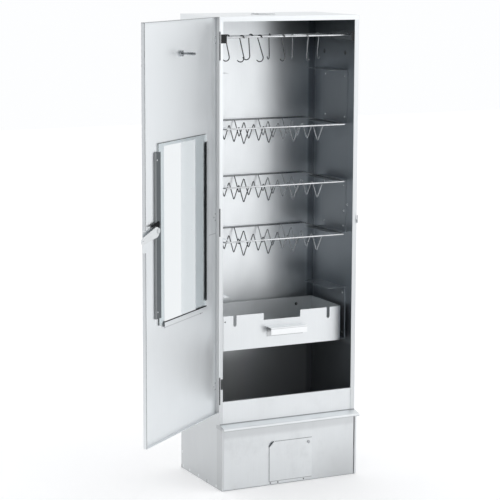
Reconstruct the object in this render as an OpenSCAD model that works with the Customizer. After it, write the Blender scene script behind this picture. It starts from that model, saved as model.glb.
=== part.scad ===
// Smoking cabinet of folded sheet steel, with an open glazed door, wire racks, hook rods,
// a drip tray and a fire drawer. Millimetres, +Z up, the front faces -Y, the floor is z = 0.

/* [Cabinet] */
// Outside width across the side walls
width = 390; // [350:5:430]
// Outside depth of the body, without the fire drawer
depth = 240; // [220:5:270]
// Height of the top panel above the floor
height = 1200; // [1140:10:1300]
// Thickness of the sheet steel
sheet = 1; // [0.8:0.1:1.2]
// Width of the folded edges round the door opening
fold = 12; // [11:1:13]
// Height of the lower edge of the door opening
sill_top = 230; // [222:2:240]
// How far the fire drawer stands in front of the body
base_out = 12; // [10:1:14]

/* [Door] */
// Depth of the folded rim of the door
door_depth = 9; // [9:0.5:10]
// Height of the lower edge of the door
door_bottom = 206; // [200:2:212]
// Width of the window glass
glass_width = 252; // [232:2:264]
// Height of the window glass
glass_height = 430; // [400:5:450]
// Diameter of the thermometer dial
dial_diameter = 62; // [50:2:70]

/* [Inside] */
// Width of a rack
rack_width = 342; // [332:2:346]
// Depth of the zigzag troughs of a rack
trough = 43; // [36:1:46]
// Number of troughs from front to back
troughs = 4; // [3:1:5]
// Width of the drip tray
tray_width = 350; // [340:2:356]
// Height of the drip tray
tray_height = 90; // [70:2:100]
// Length of a meat hook
hook_length = 66; // [60:1:72]

/* [Hidden] */
$fn = 48;
// how far the door stands open in the rest pose
door_open = 141;
// shared clearances: a sliding or swinging gap, a running fit, a seat
slip = 0.3;
run = 0.05;
seat = 0.02;

half_w = width / 2;
front = -depth / 2;
back = depth / 2;
inner_w = half_w - sheet;

// ledge over the fire drawer
ledge_z = 171;
ledge_out = 26;
ledge_drop = 5;
ledge_drip = 7;
ledge_nose = 4;
ledge_tab = 20;
ledge_up = 12;
ledge_low = ledge_z - ledge_drop - ledge_drip;
cheek_top = ledge_low + 5;
sill_hem = 9;
floor_up = 14;

// folded front edges: of the base walls beside the drawer, and of the left wall beside the hinges
hem = 5;
left_fold = fold - 4;

// vent on the top
vent_x = -12;
vent_r = 25;
vent_rise = 2;
lid_r = vent_r + 2;
lid_pin_r = 2.5;
lid_pin_x = vent_x - vent_r - 9;

// shelf brackets: three levels, each carries something on its lower and upper flange
rail_low = 350.5;
rail_height = 138;
rail_reach = 50;
rail_depth = 130;
rail_head = 143;
rail_pitch = (height - rail_low - rail_height - rail_head) / 2;
function rail_z(level) = rail_low + level * rail_pitch;

// hook rods, each from its notch on the left to its notch on the right; the rear one lies askew
rod_r = 2.5;
rod_z = height - 52;
rod_rear = -14;
rod_front = front + 29;
rod_spare = (rod_rear + rod_front) / 2;
rod_half = inner_w - 3;
rod_gap = 9;
rods = [[rod_spare, rod_rear], [rod_front, rod_front]];
function rod_turn(rod) = atan2(rod[1] - rod[0], 2 * (inner_w - rod_gap) + sheet);
function rod_y(rod, x) = (rod[0] + rod[1]) / 2 + x * tan(rod_turn(rod));
bracket_low = rod_z - 13;
bracket_top = rod_z + 9;
bracket_front = front + 2 * sheet;
bracket_back = rod_rear + 26;
bracket_flap = 18;
bracket_step = 4;

// S-hook, drawn in its own plane with the rod at the origin
hook_r = 1.3;
hook_eye = 6;
hook_bight = 10;
hook_drop = hook_eye - hook_r - rod_r - slip;
hook_shank = hook_length - 2 * hook_r - hook_eye - hook_bight;

// racks
rack_rod = 2;
rack_corner = 6;
rack_shift = -8;
rack_front = front + 6;
rack_back = back - 5;
wire_r = 1.25;
wire_bend = 3.5;
wire_lap = 0.2;
wire_gap = 70;
wires = 4;
rack_top_z = rail_z(2) + sheet + rack_rod + seat;
rack_middle_z = rail_z(1) + rail_height + rack_rod + seat;
rack_lower_z = rail_z(1) + sheet + rack_rod + seat;

// drip tray
tray_front = front + 42;
tray_depth = 167;
tray_z = rail_z(0) + sheet + seat;
tray_corner = 9;
tray_shift = 2;
tray_hole_x = 128;
tray_hole_deep = 19;
tray_hole_r = 4.5;
notch_width = 106;
notch_deep = 18;
slot_gap = 270;
slot_width = 9;
slot_deep = 24;
grip_width = 104;
grip_shift = 8;
grip_reach = 26;
grip_lip = 18;
grip_leg = 26;
grip_z = tray_z + 54;

// fire drawer
drawer_front_y = front - base_out;
drawer_top = ledge_low - 3;
drawer_floor = sheet + slip;
drawer_play = 1;
drawer_side = half_w - hem - drawer_play;
drawer_height = 72;
drawer_back = back - sheet - 4;
panel_gap = 3;
panel_left = -half_w + hem + slip;
panel_right = half_w - hem - panel_gap;
flap_left = -61;
flap_right = 63;
flap_low = 9;
flap_top = 115;
flap_round = 20;
flap_pivot = [53, 103];
flap_pivot_r = 2.5;
air_margin = 14;

// door in its closed place; door_place() swings it open
door_in = front - slip;
door_out = door_in - door_depth;
door_skin = door_out + sheet;
door_gap = 0.5;
door_left = -half_w + door_gap;
door_right = half_w - door_gap;
door_top = height;
door_mid = (door_bottom + door_top) / 2;

// hinges: the door's strap wraps round its rim, the cabinet's leaf lies on the left wall
knuckle_r = 3;
pin_r = 1.5;
leaf = 1.2;
hinge_x = -half_w - knuckle_r - 0.2;
hinge_y = door_in + leaf - knuckle_r;
hinge_above = 20;
hinge_below = 50;
knuckle_half = 8;
strap_half = 12;
strap_reach = 24;
strap_web = 1.2;
strap_neck = hinge_y - knuckle_r - slip;
leaf_reach = 24;
hinge_lower_z = door_bottom + 69;
hinge_middle_z = door_mid + 3;
hinge_upper_z = door_top - 56;
hinge_levels = [hinge_lower_z, hinge_middle_z, hinge_upper_z];

// notches in the folded edge of the left wall, beside the hook bracket and the lower hinge
notch_edge = 2;
notch_low = hinge_lower_z - 12;
notch_high = hinge_lower_z + 15;

// window glass, the smaller opening behind it and the channels round it
glass_t = 3;
glass_shift = -6;
glass_y = door_skin + slip;
glass_low = door_mid - glass_height / 2;
glass_top = glass_low + glass_height;
glass_left = glass_shift - glass_width / 2;
glass_right = glass_shift + glass_width / 2;
window_left = glass_left + 55;
window_right = glass_right - 31;
window_low = glass_low + 2;
window_top = glass_top - 8;
cover_y = glass_y + glass_t + 0.7;
channel_low = glass_low + 18;
channel_top = glass_top - 19;
latch_bite = 7;
latch_wide = 16.5;
hinge_bite = 1.5;
hinge_wide = 8.5;
foot_bite = 2.5;
foot_wide = 8;
foot_left = glass_left - 5;
foot_right = window_right + 6;

// thermometer
dial_r = dial_diameter / 2;
dial_depth = 14;
dial_wall = 2.5;
dial_z = door_top - 79;
dial_well = 8;
lens_t = 1.5;
lens_step = 1;
stem_r = 2.6;
stem_reach = 40;
spigot_r = 5;
spigot_length = 9;
nut_r = 8;
nut_t = 6;
needle_t = 1;
needle_hub = 3;

// latch
latch_inset = 11;
latch_x = glass_right + latch_inset;
latch_z = door_mid + 13;
latch_r = 3;
lever_r = 8;
lever_heel = [8, -2.5];
lever_heel_r = 12.5;
lever_turn = -11.4;
lever_past = 12;
lever_reach = (half_w + lever_past - latch_x) / cos(lever_turn);
lever_tip = lever_reach * [cos(lever_turn), sin(lever_turn)];
leaf_y = cover_y + sheet + 0.2;
leaf_t = 1;
lever_y = leaf_y + leaf_t + 0.1;
lever_t = 1.5;
head_r = 6.5;
head_t = 1.2;
slot_low = latch_z - 44;
slot_high = latch_z + 8;

// keeper for the latch, a flat plate on the right wall with a finger in front of the lever
keeper_t = 1.2;
keeper_deep = 50;
keeper_arm_deep = 41;
keeper_finger_deep = 29;
keeper_low = latch_z - keeper_deep;
keeper_arm_top = latch_z - keeper_arm_deep;
keeper_finger_top = latch_z - keeper_finger_deep;
keeper_inset = 30;
keeper_wide = 42;
keeper_plate_front = front + keeper_inset;
keeper_plate_back = keeper_plate_front + keeper_wide;
keeper_finger_back = lever_y - 0.5;
keeper_front = keeper_finger_back - 3;

// a box from one corner to the opposite one
module box(a, b) translate(a) cube(b - a);

// a profile in Y and Z, extruded along X from x0 to x1
module along_x(x0, x1) translate([x0, 0, 0]) rotate([90, 0, 90]) linear_extrude(x1 - x0) children();

// a profile in X and Z, extruded along Y from y0 to y1
module along_y(y0, y1) translate([0, y1, 0]) rotate([90, 0, 0]) linear_extrude(y1 - y0) children();

// wire pieces in the XY plane: a straight leg and a bend
module leg(a, b, r) translate([a.x, a.y, 0]) rotate([0, 0, atan2(b.y - a.y, b.x - a.x)])
    rotate([0, 90, 0]) cylinder(r = r, h = norm(b - a));
module bend(c, radius, from, turn, r) translate([c.x, c.y, 0]) rotate([0, 0, from])
    rotate_extrude(angle = turn) translate([radius, 0]) circle(r);

// Shell

module side_wall(lip) {
    along_x(-half_w, -inner_w) polygon([
        [front - base_out, 0], [back, 0], [back, height - sheet], [front, height - sheet],
        [front, cheek_top], [front - base_out, cheek_top]]);
    box([-half_w, front, ledge_z], [-half_w + lip, front + sheet, height - fold]);
    box([-half_w, front - base_out, 0], [-half_w + hem, front - base_out + sheet, cheek_top]);
}

module left_side() color("Silver") difference() {
    side_wall(left_fold);
    for (z = [[notch_low, notch_high], [bracket_low, bracket_top]])
        box([-half_w + notch_edge, front - 1, z[0]], [-half_w + left_fold + 1, front + 2 * sheet, z[1]]);
}

module right_side() color("Silver") mirror([1, 0, 0]) side_wall(fold);

module back_panel() color("Gainsboro") {
    box([-inner_w, back - sheet, 0], [inner_w, back, height - sheet]);
    for (s = [-1, 1]) translate([s * (inner_w - sheet / 2), 0, 0])
        box([-sheet / 2, back - fold, floor_up + 6], [sheet / 2, back - sheet, height - 2 * sheet]);
}

module top_panel() color("Silver") difference() {
    union() {
        box([-half_w, front, height - sheet], [half_w, back, height]);
        box([-inner_w, front, height - fold], [inner_w, front + sheet, height - sheet]);
    }
    translate([vent_x, 0, height - 2 * sheet]) cylinder(r = vent_r - sheet, h = 3 * sheet);
}

module sill_panel() color("Gainsboro") along_x(-inner_w, inner_w) polygon([
    [front + sheet, ledge_z], [front + 2 * sheet, ledge_z], [front + 2 * sheet, sill_top - sheet],
    [front + sill_hem, sill_top - sheet], [front + sill_hem, sill_top], [front + sheet, sill_top]]);

module ledge() color("Silver") {
    tip = front - ledge_out;
    brow = ledge_z - ledge_drop;
    nose = [for (a = [90 : 15 : 180]) [tip + ledge_nose * (1 + cos(a)), brow - ledge_nose * (1 - sin(a))]];
    bend_r = ledge_nose - sheet;
    inside = [for (a = [180 : -15 : 90])
        [tip + ledge_nose + bend_r * cos(a), brow - ledge_nose + bend_r * sin(a)]];
    along_x(-inner_w, inner_w) polygon([
        [front, ledge_z - sheet], [front + 3 * sheet, ledge_z - sheet],
        [front + 3 * sheet, ledge_z + ledge_up], [front + 2 * sheet, ledge_z + ledge_up],
        [front + 2 * sheet, ledge_z], [front, ledge_z]]);
    along_x(-half_w - sheet, half_w + sheet) polygon(concat([[front, ledge_z - sheet], [front, ledge_z]],
        nose, [[tip, ledge_low], [tip + sheet, ledge_low]], inside));
    for (s = [-1, 1]) translate([s * (half_w + sheet / 2), 0, 0]) along_x(-sheet / 2, sheet / 2) polygon([
        [front - base_out, ledge_low], [front + ledge_tab, ledge_low], [front + ledge_tab, ledge_z - 3],
        [front, ledge_z], [front - base_out, ledge_z - ledge_drop]]);
}

module base_floor() color("DarkGray") {
    box([-inner_w, drawer_front_y + sheet, 0], [inner_w, back - sheet, sheet]);
    for (s = [-1, 1]) translate([s * (inner_w - sheet / 2), 0, 0])
        box([-sheet / 2, drawer_front_y + fold, sheet], [sheet / 2, back - sheet, floor_up]);
}

// Shelf brackets and hook-rod brackets, drawn on the right wall

module rail(level) along_y(-rail_depth / 2, rail_depth / 2) translate([inner_w, rail_z(level)]) difference() {
    translate([-rail_reach, 0]) square([rail_reach, rail_height]);
    translate([-rail_reach - 1, sheet]) square([rail_reach + 1 - sheet, rail_height - 2 * sheet]);
}

module hook_bracket() {
    tall = bracket_top - bracket_low;
    difference() {
        along_y(bracket_front, bracket_back) translate([inner_w, bracket_low]) polygon([
            [0, 0], [0, tall], [-sheet, tall], [-sheet, sheet], [sheet - rod_gap, sheet],
            [sheet - rod_gap, tall - bracket_step], [-rod_gap, tall - bracket_step], [-rod_gap, 0]]);
        for (y = [rod_front, rod_spare, rod_rear])
            box([inner_w - rod_gap - 1, y - rod_r - slip, rod_z - rod_r - seat],
                [inner_w - rod_gap + sheet + 1, y + rod_r + slip, bracket_top + 1]);
    }
    box([inner_w - bracket_flap, bracket_front, bracket_low], [inner_w, bracket_front + sheet, bracket_top]);
}

module keeper() color("DimGray") along_x(half_w, half_w + keeper_t) polygon([
    [keeper_front, keeper_low], [keeper_plate_back, keeper_low], [keeper_plate_back, latch_z],
    [keeper_plate_front, latch_z], [keeper_plate_front, keeper_arm_top],
    [keeper_finger_back, keeper_arm_top], [keeper_finger_back, keeper_finger_top],
    [keeper_front, keeper_finger_top]]);

// Hinges, in the closed place of the door

module hinge_leaf(z) color("Gray") translate([0, 0, z]) difference() {
    union() {
        box([-half_w - leaf, hinge_y, -hinge_below], [-half_w, front + leaf_reach, hinge_above]);
        translate([hinge_x, hinge_y, -hinge_below]) cylinder(r = knuckle_r, h = hinge_below + hinge_above);
    }
    box([hinge_x - knuckle_r - 1, hinge_y - knuckle_r - 1, -knuckle_half - slip],
        [-half_w + 1, hinge_y + knuckle_r + 1, knuckle_half + slip]);
    translate([hinge_x, hinge_y, -hinge_below - 1])
        cylinder(r = pin_r + seat, h = hinge_below + hinge_above + 2);
}

module hinge_strap(z) color("Gray") door_place() translate([0, 0, z]) difference() {
    edge = door_left - leaf;
    union() {
        translate([hinge_x, hinge_y, -knuckle_half]) cylinder(r = knuckle_r, h = 2 * knuckle_half);
        box([hinge_x, hinge_y - strap_web, -knuckle_half], [door_left, hinge_y + strap_web, knuckle_half]);
        box([edge, door_out - leaf, -knuckle_half], [door_left, hinge_y + strap_web, knuckle_half]);
        box([edge, door_out - leaf, -strap_half], [door_left, strap_neck, strap_half]);
        box([edge, door_out - leaf, -strap_half], [door_left + strap_reach, door_out, strap_half]);
    }
    translate([hinge_x, hinge_y, -knuckle_half - 1]) cylinder(r = pin_r + run, h = 2 * knuckle_half + 2);
}

module hinge_pins() color("DimGray") for (z = hinge_levels) translate([hinge_x, hinge_y, z - hinge_below - 1])
    cylinder(r = pin_r, h = hinge_below + hinge_above + 2);

// Vent

module vent_collar() color("Silver") {
    translate([vent_x, 0, height]) difference() {
        cylinder(r = vent_r, h = vent_rise);
        translate([0, 0, -1]) cylinder(r = vent_r - sheet, h = vent_rise + 2);
    }
    translate([lid_pin_x, 0, height]) {
        cylinder(r = lid_pin_r + 2, h = vent_rise);
        cylinder(r = lid_pin_r, h = vent_rise + sheet + 2 * slip);
        translate([0, 0, vent_rise + sheet + 2 * slip]) cylinder(r = lid_pin_r + 2, h = 1);
    }
}

module vent_lid() color("Gainsboro") translate([0, 0, height + vent_rise + slip]) difference() {
    linear_extrude(sheet) {
        translate([vent_x, 0]) circle(lid_r);
        translate([lid_pin_x, 0]) circle(7);
        translate([lid_pin_x, -7]) square([vent_x - lid_pin_x, 14]);
    }
    translate([lid_pin_x, 0, -1]) cylinder(r = lid_pin_r + run, h = sheet + 2);
}

// Door

module door_place() translate([hinge_x, hinge_y, 0]) rotate([0, 0, -door_open])
    translate([-hinge_x, -hinge_y, 0]) children();

module window_cut() box([window_left, door_out - 1, window_low], [window_right, door_skin + 1, window_top]);

module door_panel() color("Gainsboro") door_place() difference() {
    box([door_left, door_out, door_bottom], [door_right, door_in, door_top]);
    box([door_left + sheet, door_skin, door_bottom + sheet],
        [door_right - sheet, door_in + 1, door_top - sheet]);
    window_cut();
    box([door_right - sheet - 1, door_skin, slot_low], [door_right + 1, door_in + 1, slot_high]);
    translate([0, door_out - 1, dial_z]) rotate([-90, 0, 0]) cylinder(r = spigot_r + seat, h = sheet + 2);
    translate([latch_x, door_out - 1, latch_z]) rotate([-90, 0, 0])
        cylinder(r = latch_r + seat, h = sheet + 2);
}

// glass channel, open towards the glass: foot on the door skin, riser, flange over the edge of the glass
module channel_profile(bite, wide) polygon([
    [slip, door_skin], [wide, door_skin], [wide, cover_y + sheet], [-bite, cover_y + sheet], [-bite, cover_y],
    [wide - sheet, cover_y], [wide - sheet, door_skin + sheet], [slip, door_skin + sheet]]);

module channel_latch_side() color("DimGray") door_place() difference() {
    translate([glass_right, 0, channel_low]) linear_extrude(channel_top - channel_low)
        channel_profile(latch_bite, latch_wide);
    translate([latch_x, door_skin - 1, latch_z]) rotate([-90, 0, 0])
        cylinder(r = latch_r + seat, h = door_depth);
}

module channel_hinge_side() color("DimGray") door_place() translate([glass_left, 0, channel_low])
    mirror([1, 0, 0]) linear_extrude(channel_top - channel_low) channel_profile(hinge_bite, hinge_wide);

module channel_bottom() color("Silver") door_place() translate([foot_left, 0, glass_low + slip - seat])
    rotate([0, 90, 0]) linear_extrude(foot_right - foot_left) channel_profile(foot_bite, foot_wide);

module glass() color("LightCyan", 0.4) door_place()
    box([glass_left, glass_y, glass_low], [glass_right, glass_y + glass_t, glass_top]);

// Thermometer, on the axis of the dial with the face towards -Y

module on_dial() door_place() translate([0, door_out, dial_z]) rotate([90, 0, 0]) children();

module dial_case() color("LightGray") on_dial() {
    difference() {
        cylinder(r = dial_r, h = dial_depth);
        translate([0, 0, dial_depth - dial_well])
            cylinder(r = dial_r - dial_wall - lens_step, h = dial_well + 1);
        translate([0, 0, dial_depth - lens_t - 1]) cylinder(r = dial_r - dial_wall, h = lens_t + 2);
    }
    translate([0, 0, dial_depth - dial_well]) cylinder(r = needle_hub / 2, h = 3);
    translate([0, 0, -spigot_length]) cylinder(r = spigot_r, h = spigot_length);
    translate([0, 0, -stem_reach]) cylinder(r = stem_r, h = stem_reach - spigot_length);
}

module dial_lens() color("LightCyan", 0.4) on_dial() translate([0, 0, dial_depth - lens_t - 1 + seat])
    cylinder(r = dial_r - dial_wall - seat, h = lens_t);

module dial_needle() color("FireBrick") on_dial() translate([0, 0, dial_depth - dial_well + 1]) difference() {
    linear_extrude(needle_t) rotate(135) {
        circle(needle_hub);
        polygon([[-1.2, -6], [1.2, -6], [0.4, dial_r - 9], [-0.4, dial_r - 9]]);
    }
    translate([0, 0, -1]) cylinder(r = needle_hub / 2 + run, h = needle_t + 2);
}

module stem_nut() color("Silver") on_dial() translate([0, 0, -sheet - nut_t]) difference() {
    cylinder(r = nut_r, h = nut_t, $fn = 6);
    translate([0, 0, -1]) cylinder(r = spigot_r + seat, h = nut_t + 2);
}

// Latch, about its pivot, in the plane of the door

module at_latch(y) door_place() translate([latch_x, y, latch_z])
    rotate([90, 0, 0]) mirror([0, 0, 1]) children();

module latch_pivot() color("Silver") at_latch(door_out) {
    translate([0, 0, -head_t]) cylinder(r = head_r, h = head_t);
    cylinder(r = latch_r, h = lever_y + lever_t + slip - door_out);
    translate([0, 0, lever_y + lever_t + slip - door_out]) cylinder(r = head_r, h = head_t);
}

module latch_lever() color("Silver") at_latch(lever_y) difference() {
    linear_extrude(lever_t) hull() {
        translate(lever_heel) circle(lever_heel_r, $fn = 32);
        translate(lever_tip) circle(lever_r, $fn = 32);
    }
    translate([0, 0, -1]) cylinder(r = latch_r + run, h = lever_t + 2);
    rotate(lever_turn) translate([lever_reach - 1, 0, -1]) cylinder(r = 2.5, h = lever_t + 2);
}

module latch_spring() color("Black") at_latch(leaf_y) difference() {
    linear_extrude(leaf_t) {
        circle(head_r);
        polygon([[-6, 0], [6, 0], [6, 12.4], [33, 11.8], [39, 14], [15.5, 18.6], [-7, 22], [-10.5, 17]]);
    }
    translate([0, 0, -1]) cylinder(r = latch_r + run, h = leaf_t + 2);
}

// Hook rods and hooks

module hook_rod(rod) color("LightGray") translate([0, rod_y(rod, 0), rod_z]) rotate([0, 0, rod_turn(rod)])
    rotate([0, 90, 0]) cylinder(r = rod_r, h = 2 * rod_half, center = true);

// each hook: place along the width, its rod, turn about the vertical, lean in its own plane
hooks = [[-141, 0, 38, 13], [-122, 1, 38, 14], [-72.5, 0, 40, 4], [-72, 1, 38, 18], [-16.5, 0, -10, 5],
    [-6.5, 1, 13, 15], [53, 0, -24, 2], [62, 1, 172, 13], [131, 0, 172, 13]];

module hook(n) color("Gray") translate([hooks[n][0], rod_y(rods[hooks[n][1]], hooks[n][0]), rod_z])
    rotate([0, 0, hooks[n][2]]) rotate([90, 0, -90]) translate([0, -hook_drop, 0]) rotate(hooks[n][3]) {
        knee = [-hook_eye, -hook_shank];
        foot = knee - [hook_bight, 0];
        mirror([0, 1, 0]) bend([0, 0], hook_eye, 180, 205, hook_r);
        leg([-hook_eye, 0], knee, hook_r);
        mirror([0, 1, 0]) bend([foot.x, -foot.y], hook_bight, 0, 160, hook_r);
    }

// Racks

module rack_frame(z) color("LightGray") translate([rack_shift, 0, z]) {
    side = rack_width / 2;
    c = rack_corner;
    for (s = [-1, 1]) {
        leg([s * side, rack_front + c], [s * side, rack_back - c], rack_rod);
        bend([s * (side - c), rack_front + c], c, s > 0 ? -90 : 180, 90, rack_rod);
        bend([s * (side - c), rack_back - c], c, s > 0 ? 0 : 90, 90, rack_rod);
    }
    leg([c - side, rack_front], [side - c, rack_front], rack_rod);
    leg([c - side, rack_back], [side - c, rack_back], rack_rod);
}

// one zigzag wire in the plane of Y and height, from the front rod to the back rod
wire_pitch = (rack_back - rack_front) / troughs;
wire_lean = atan2(wire_pitch / 2, trough);
wire_cut = wire_bend / tan(wire_lean) - wire_lap;
wire_rise = wire_bend / sin(wire_lean);
wire_toe = rack_rod + seat;
last_leg = 2 * troughs - 1;
function knot(n) = [rack_front + n * wire_pitch / 2, n % 2 == 0 ? 0 : -trough];
function way(n) = (knot(n + 1) - knot(n)) / norm(knot(n + 1) - knot(n));
function leg_start(n) = knot(n) + way(n) * (n == 0 ? wire_toe : wire_cut);
function leg_end(n) = knot(n + 1) - way(n) * (n == last_leg ? wire_toe : wire_cut);

module zigzag() rotate([90, 0, 90]) {
    for (n = [0 : last_leg]) leg(leg_start(n), leg_end(n), wire_r);
    for (n = [1 : last_leg]) {
        up = n % 2 == 1 ? 1 : -1;
        from = up > 0 ? 180 + wire_lean : wire_lean;
        bend(knot(n) + [0, up * wire_rise], wire_bend, from, 180 - 2 * wire_lean, wire_r + seat);
    }
}

module rack_wires(z) color("Gray") for (n = [0 : wires - 1])
    translate([rack_shift + (n - (wires - 1) / 2) * wire_gap, 0, z]) zigzag();

// Drip tray

module tray_outline(inset) {
    side = tray_width / 2 - inset;
    y0 = tray_front + inset;
    r = tray_corner - inset;
    translate([-side, y0 + r]) square([2 * side, tray_depth - 2 * inset - r]);
    translate([r - side, y0]) square([2 * (side - r), r]);
    for (s = [-1, 1]) translate([s * (side - r), y0 + r]) circle(r);
}

module tray() color("Gainsboro") translate([tray_shift, 0, tray_z]) difference() {
    linear_extrude(tray_height) tray_outline(0);
    translate([0, 0, sheet]) linear_extrude(tray_height) tray_outline(sheet);
    box([-notch_width / 2, tray_front - 1, tray_height - notch_deep],
        [notch_width / 2, tray_front + 2, tray_height + 1]);
    for (s = [-1, 1]) translate([s * slot_gap / 2, 0, 0]) {
        box([-slot_width / 2, tray_front - 1, tray_height - slot_deep],
            [slot_width / 2, tray_front + 2, tray_height + 1]);
        translate([0, tray_front - 1, tray_height - slot_deep]) rotate([-90, 0, 0])
            cylinder(r = slot_width / 2, h = 3);
    }
    translate([tray_hole_x, tray_front + tray_depth - 2, tray_height - tray_hole_deep]) rotate([-90, 0, 0])
        cylinder(r = tray_hole_r, h = 3);
}

module tray_handle() color("Silver") translate([tray_shift + grip_shift, tray_front, grip_z])
    along_x(-grip_width / 2, grip_width / 2) polygon([
        [0, 0], [0, -grip_leg], [-sheet, -grip_leg], [-sheet, -sheet], [sheet - grip_reach, -sheet],
        [sheet - grip_reach, -grip_lip], [-grip_reach, -grip_lip], [-grip_reach, 0]]);

// Fire drawer

module drawer_box() color("DimGray") translate([0, 0, drawer_floor]) difference() {
    box([-drawer_side, drawer_front_y + sheet, 0], [drawer_side, drawer_back, drawer_height]);
    box([sheet - drawer_side, drawer_front_y, sheet],
        [drawer_side - sheet, drawer_back - sheet, drawer_height + 1]);
}

module drawer_front() color("Gainsboro") difference() {
    box([panel_left, drawer_front_y, drawer_floor], [panel_right, drawer_front_y + sheet, drawer_top]);
    box([flap_left + air_margin, drawer_front_y - 1, flap_low + air_margin],
        [flap_right - 2 * air_margin, drawer_front_y + 2, flap_top - 2 * air_margin]);
    translate([flap_pivot.x, drawer_front_y - 1, flap_pivot.y]) rotate([-90, 0, 0])
        cylinder(r = flap_pivot_r + seat, h = sheet + 2);
}

module flap() color("Silver") difference() {
    along_y(drawer_front_y - 0.1 - sheet, drawer_front_y - 0.1) {
        translate([flap_left, flap_low]) square([flap_right - flap_left, flap_top - flap_low - flap_round]);
        translate([flap_left + flap_round, flap_low])
            square([flap_right - flap_left - flap_round, flap_top - flap_low]);
        translate([flap_left + flap_round, flap_top - flap_round]) circle(flap_round);
    }
    translate([flap_pivot.x, drawer_front_y - 3, flap_pivot.y]) rotate([-90, 0, 0])
        cylinder(r = flap_pivot_r + run, h = 6);
}

module flap_rivet() color("DimGray") translate([flap_pivot.x, drawer_front_y + sheet, flap_pivot.y])
    rotate([90, 0, 0]) {
        translate([0, 0, -1]) cylinder(r = flap_pivot_r + 1.5, h = 1);
        cylinder(r = flap_pivot_r, h = 2 * sheet + 0.2);
        translate([0, 0, 2 * sheet + 0.2]) cylinder(r = flap_pivot_r + 1.5, h = 1.2);
    }

left_side();
right_side();
back_panel();
top_panel();
sill_panel();
ledge();
base_floor();
color("Silver") mirror([1, 0, 0]) rail(0);  // rail_left_lower
color("Silver") mirror([1, 0, 0]) rail(1);  // rail_left_middle
color("Silver") mirror([1, 0, 0]) rail(2);  // rail_left_upper
color("Silver") rail(0);  // rail_right_lower
color("Silver") rail(1);  // rail_right_middle
color("Silver") rail(2);  // rail_right_upper
color("DimGray") mirror([1, 0, 0]) hook_bracket();  // hook_bracket_left
color("DimGray") hook_bracket();  // hook_bracket_right
keeper();
hinge_leaf(hinge_lower_z);  // hinge_leaf_lower
hinge_leaf(hinge_middle_z);  // hinge_leaf_middle
hinge_leaf(hinge_upper_z);  // hinge_leaf_upper
hinge_pins();
vent_collar();
vent_lid();
door_panel();
channel_latch_side();
channel_hinge_side();
channel_bottom();
glass();
hinge_strap(hinge_lower_z);  // hinge_strap_lower
hinge_strap(hinge_middle_z);  // hinge_strap_middle
hinge_strap(hinge_upper_z);  // hinge_strap_upper
dial_case();
dial_lens();
dial_needle();
stem_nut();
latch_pivot();
latch_lever();
latch_spring();
hook_rod(rods[0]);  // hook_rod_rear
hook_rod(rods[1]);  // hook_rod_front
hook(0);  // hook_1
hook(1);  // hook_2
hook(2);  // hook_3
hook(3);  // hook_4
hook(4);  // hook_5
hook(5);  // hook_6
hook(6);  // hook_7
hook(7);  // hook_8
hook(8);  // hook_9
rack_frame(rack_top_z);  // rack_top_frame
rack_wires(rack_top_z);  // rack_top_wires
rack_frame(rack_middle_z);  // rack_middle_frame
rack_wires(rack_middle_z);  // rack_middle_wires
rack_frame(rack_lower_z);  // rack_lower_frame
rack_wires(rack_lower_z);  // rack_lower_wires
tray();
tray_handle();
drawer_box();
drawer_front();
flap();
flap_rivet();
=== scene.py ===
"""Looks of the cabinet smoker: materials, small fittings, studio and camera round the CAD frame."""

import math

import bmesh
import bpy
from mathutils import Matrix, Vector


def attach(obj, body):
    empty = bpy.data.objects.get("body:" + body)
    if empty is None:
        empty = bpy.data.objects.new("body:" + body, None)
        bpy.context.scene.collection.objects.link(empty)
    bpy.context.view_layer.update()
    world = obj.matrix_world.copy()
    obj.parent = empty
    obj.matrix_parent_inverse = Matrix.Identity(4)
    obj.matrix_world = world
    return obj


MM = 0.001

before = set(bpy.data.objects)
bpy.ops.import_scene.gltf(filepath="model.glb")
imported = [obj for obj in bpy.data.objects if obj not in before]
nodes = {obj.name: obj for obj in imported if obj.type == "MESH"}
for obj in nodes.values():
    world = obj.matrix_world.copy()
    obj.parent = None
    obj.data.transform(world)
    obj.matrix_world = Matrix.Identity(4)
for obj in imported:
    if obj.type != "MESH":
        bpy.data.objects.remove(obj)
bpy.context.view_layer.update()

# Sizes in millimetres, as in the part's source
HALF_W = 195.0
FRONT = -120.0
BACK = 120.0
HEIGHT = 1200.0
SHEET = 1.0
INNER_W = HALF_W - SHEET
DOOR_OPEN = 141.0
DOOR_IN = FRONT - 0.3
DOOR_OUT = DOOR_IN - 9.0
DOOR_SKIN = DOOR_OUT + SHEET
DOOR_TOP = HEIGHT
DOOR_LEFT = -194.5
HINGE = Vector((-HALF_W - 3.2, DOOR_IN + 1.2 - 3.0, 0.0))
HINGE_LEVELS = (275.0, 706.0, 1144.0)
COVER_TOP = DOOR_SKIN + 5.0
RAIL_LEVELS = (350.5, 634.75, 919.0)
DRAWER_Y = FRONT - 12.0
DIAL_Z = DOOR_TOP - 79.0
LEDGE_Z = 171.0
LEDGE_LOW = 159.0
TRAY_FRONT = FRONT + 42.0
GRIP_FRONT = TRAY_FRONT - 26.0
GRIP_Z = 405.6
WALL_DENTS = ((60.7, 1099.5), (-50.8, 1100.6))
BRACKET_FRONT = FRONT + 2.0
FLAP_ROUND = 20.0
FLAP_ROUND_X = -41.0
FLAP_ROUND_Z = 95.0
FLAP_LOW = 9.0
GLASS_TOP_Y = DOOR_SKIN + 3.3
GLASS_LOW = 491.0
GLASS_HIGH = 918.0
CHANNEL_LOW = 506.0
CHANNEL_HIGH = 899.0
CHANNEL_RIVETS = (881.0, 522.0)
HINGE_PLATE = 1.2
KEEPER_T = 1.2
KEEPER_SCREWS = ((-74.0, 708.0), (-56.0, 690.0))

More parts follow.
